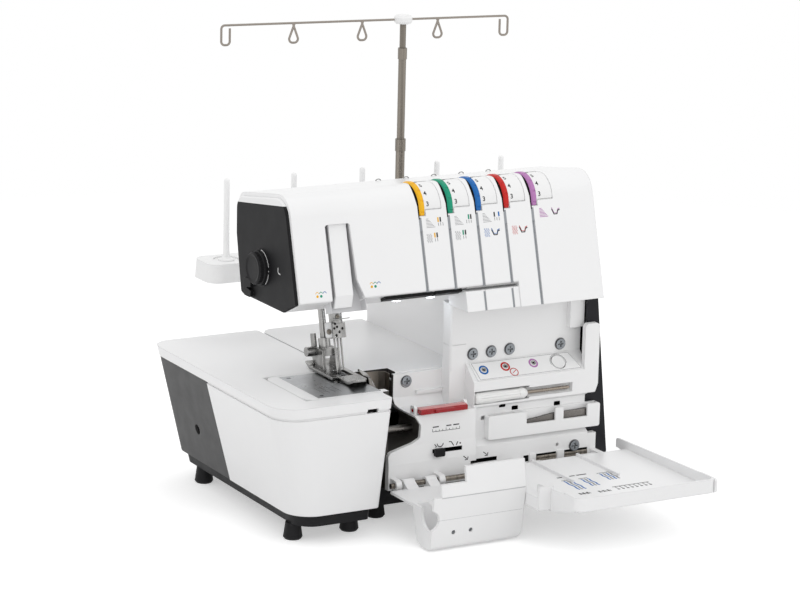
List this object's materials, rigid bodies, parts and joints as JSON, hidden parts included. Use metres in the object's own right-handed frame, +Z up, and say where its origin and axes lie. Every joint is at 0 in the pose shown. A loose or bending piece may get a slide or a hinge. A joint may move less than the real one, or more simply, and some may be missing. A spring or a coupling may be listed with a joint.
{
  "type": "serger overlock machine",
  "caption": "Overlock sewing machine with free arm and extension table, opened front cover, colour-ringed tension dials, spool stand and telescopic thread pole",
  "frame": {"origin": "on the floor under the middle of the footprint, with the front cover open", "axes": "X to the right of the seated operator, Y to the back, Z up"},
  "size_m": [0.402, 0.403, 0.44],
  "materials": {
    "white_plastic": "satin moulded plastic",
    "clear_white_plastic": "milky plastic",
    "dark_plastic": "matt charcoal plastic",
    "rubber": "black rubber",
    "steel": "bright steel",
    "cast_metal": "die-cast metal",
    "motor_metal": "painted steel",
    "red_plastic": "clear red plastic",
    "grey_plastic": "matt grey plastic",
    "lamp": "clear lens",
    "dial_yellow": "yellow rim and white drum",
    "dial_green": "green rim and white drum",
    "dial_blue": "blue rim and white drum",
    "dial_red": "red rim and white drum",
    "dial_violet": "violet rim and white drum"
  },
  "bodies": {
    "machine": {"base_pan": "dark_plastic", "base_feet": "rubber", "bed_and_arm": "white_plastic", "needle_plate": "steel", "main_housing": "white_plastic", "head_shell": "white_plastic", "head_end_cap": "dark_plastic", "take_up_cover": "white_plastic", "needle_thread_guide": "dark_plastic", "lamp_lenses": "lamp", "dial_axle": "steel", "main_frame": "cast_metal", "motor": "motor_metal", "drive_belt": "rubber", "lower_knife": "steel", "hinge_rod": "steel", "inner_chassis": "white_plastic", "threading_panel": "white_plastic", "chassis_screws": "steel", "accessory_tray": "white_plastic", "tweezers": "steel", "screwdriver": "white_plastic", "right_side_cover": "dark_plastic", "power_inlet": "dark_plastic", "spool_stand": "white_plastic", "spool_pins": "clear_white_plastic", "pole_lower": "steel"},
    "table": {"extension_table": "white_plastic", "table_side_panel": "dark_plastic", "table_base": "dark_plastic"},
    "cover": {"front_cover": "white_plastic", "cover_nose": "white_plastic"},
    "pressure_knob": {"pressure_knob": "dark_plastic"},
    "handwheel": {"main_shaft": "steel", "handwheel": "dark_plastic"},
    "motor_pulley": {"motor_pulley": "motor_metal"},
    "needle_drive": {"needle_bar": "steel", "needle_clamp": "steel", "needles": "steel"},
    "presser": {"presser_bar": "steel", "presser_foot": "steel"},
    "foot_lifter": {"foot_lifter": "white_plastic"},
    "upper_looper": {"upper_looper": "steel"},
    "lower_looper": {"lower_looper": "steel"},
    "upper_knife": {"upper_knife": "steel"},
    "feed_dogs": {"feed_dogs": "steel"},
    "looper_lever": {"looper_lever": "red_plastic"},
    "slide_knob": {"slide_knob": "dark_plastic"},
    "threading_button": {"threading_button": "grey_plastic"},
    "power_switch": {"power_switch": "dark_plastic"},
    "stitch_length_dial": {"stitch_length_dial": "dark_plastic"},
    "differential_feed_dial": {"differential_feed_dial": "dark_plastic"},
    "pole_middle": {"pole_middle": "steel"},
    "pole_top": {"pole_top": "steel", "thread_guide": "steel"},
    "tension_dial_1": {"tension_dial_1": "dial_yellow"},
    "tension_dial_2": {"tension_dial_2": "dial_green"},
    "tension_dial_3": {"tension_dial_3": "dial_blue"},
    "tension_dial_4": {"tension_dial_4": "dial_red"},
    "tension_dial_5": {"tension_dial_5": "dial_violet"}
  },
  "joints": [
    {"name": "table_slide", "type": "slide", "parent": "machine", "child": "table", "axis": [-1, 0, 0], "range_m": [0, 0.115]},
    {"name": "cover_hinge", "type": "hinge", "parent": "machine", "child": "cover", "pos_m": [0.048, -0.0445, 0.039], "axis": [-1, 0, 0], "range_deg": [0, 82]},
    {"name": "tension_dial_1_turn", "type": "hinge", "parent": "machine", "child": "tension_dial_1", "pos_m": [-0.0245, -0.00253, 0.2904], "axis": [1, 0, 0], "range_deg": [-130, 130]},
    {"name": "tension_dial_2_turn", "type": "hinge", "parent": "machine", "child": "tension_dial_2", "pos_m": [0.0055, -0.00253, 0.2904], "axis": [1, 0, 0], "range_deg": [-130, 130]},
    {"name": "tension_dial_3_turn", "type": "hinge", "parent": "machine", "child": "tension_dial_3", "pos_m": [0.0355, -0.00253, 0.2904], "axis": [1, 0, 0], "range_deg": [-130, 130]},
    {"name": "tension_dial_4_turn", "type": "hinge", "parent": "machine", "child": "tension_dial_4", "pos_m": [0.0655, -0.00253, 0.2904], "axis": [1, 0, 0], "range_deg": [-130, 130]},
    {"name": "tension_dial_5_turn", "type": "hinge", "parent": "machine", "child": "tension_dial_5", "pos_m": [0.0955, -0.00253, 0.2904], "axis": [1, 0, 0], "range_deg": [-130, 130]},
    {"name": "pressure_knob_turn", "type": "hinge", "parent": "machine", "child": "pressure_knob", "pos_m": [-0.175, 0.0275, 0.24], "axis": [-1, 0, 0], "range_deg": [-170, 170]},
    {"name": "handwheel_turn", "type": "hinge", "parent": "machine", "child": "handwheel", "pos_m": [0.183, 0.0655, 0.118], "axis": [1, 0, 0], "continuous": true},
    {"name": "motor_pulley_turn", "type": "hinge", "parent": "machine", "child": "motor_pulley", "pos_m": [0.1365, 0.1105, 0.07], "axis": [1, 0, 0], "continuous": true},
    {"name": "needle_stroke", "type": "slide", "parent": "machine", "child": "needle_drive", "axis": [0, 0.2504, 0.9681], "range_m": [-0.006, 0.02]},
    {"name": "presser_lift", "type": "slide", "parent": "machine", "child": "presser", "axis": [0, 0.2504, 0.9681], "range_m": [0, 0.006]},
    {"name": "foot_lifter_turn", "type": "hinge", "parent": "machine", "child": "foot_lifter", "pos_m": [-0.122, 0.0635, 0.24], "axis": [1, 0, 0], "range_deg": [0, 35]},
    {"name": "upper_looper_swing", "type": "hinge", "parent": "machine", "child": "upper_looper", "pos_m": [-0.052, 0.0142, 0.09], "axis": [0, 1, 0], "range_deg": [-8, 8]},
    {"name": "lower_looper_swing", "type": "hinge", "parent": "machine", "child": "lower_looper", "pos_m": [-0.064, 0.0075, 0.084], "axis": [0, 1, 0], "range_deg": [0, 20]},
    {"name": "upper_knife_swing", "type": "hinge", "parent": "machine", "child": "upper_knife", "pos_m": [-0.078, -0.0155, 0.084], "axis": [1, 0, 0], "range_deg": [-8, 8]},
    {"name": "feed_dog_stroke", "type": "slide", "parent": "machine", "child": "feed_dogs", "axis": [0, 1, 0], "range_m": [-0.0015, 0.0015]},
    {"name": "looper_lever_lift", "type": "hinge", "parent": "machine", "child": "looper_lever", "pos_m": [-0.01, -0.0265, 0.1035], "axis": [-1, 0, 0], "range_deg": [0, 25]},
    {"name": "slide_knob_shift", "type": "slide", "parent": "machine", "child": "slide_knob", "axis": [1, 0, 0], "range_m": [0, 0.016]},
    {"name": "threading_button_press", "type": "slide", "parent": "machine", "child": "threading_button", "axis": [0, 0.6854, -0.7282], "range_m": [0, 0.0015], "stiffness_N_per_m": 900},
    {"name": "power_switch_rock", "type": "hinge", "parent": "machine", "child": "power_switch", "pos_m": [0.163, 0.1505, 0.098], "axis": [0, 0, 1], "range_deg": [-7, 7]},
    {"name": "stitch_length_turn", "type": "hinge", "parent": "machine", "child": "stitch_length_dial", "pos_m": [0.17144, 0.0125, 0.062], "axis": [1, 0, 0], "range_deg": [-120, 120]},
    {"name": "differential_feed_turn", "type": "hinge", "parent": "machine", "child": "differential_feed_dial", "pos_m": [0.17144, 0.0525, 0.062], "axis": [1, 0, 0], "range_deg": [-120, 120]},
    {"name": "pole_middle_slide", "type": "slide", "parent": "machine", "child": "pole_middle", "axis": [0, 0, 1], "range_m": [-0.072, 0]},
    {"name": "pole_top_slide", "type": "slide", "parent": "pole_middle", "child": "pole_top", "axis": [0, 0, 1], "range_m": [-0.0195, 0]}
  ],
  "couplings": [
    {"joint": "motor_pulley_turn", "follows": "handwheel_turn", "ratio": 3},
    {"joint": "foot_lifter_turn", "follows": "presser_lift", "rad_per_m": 101.81}
  ]
}
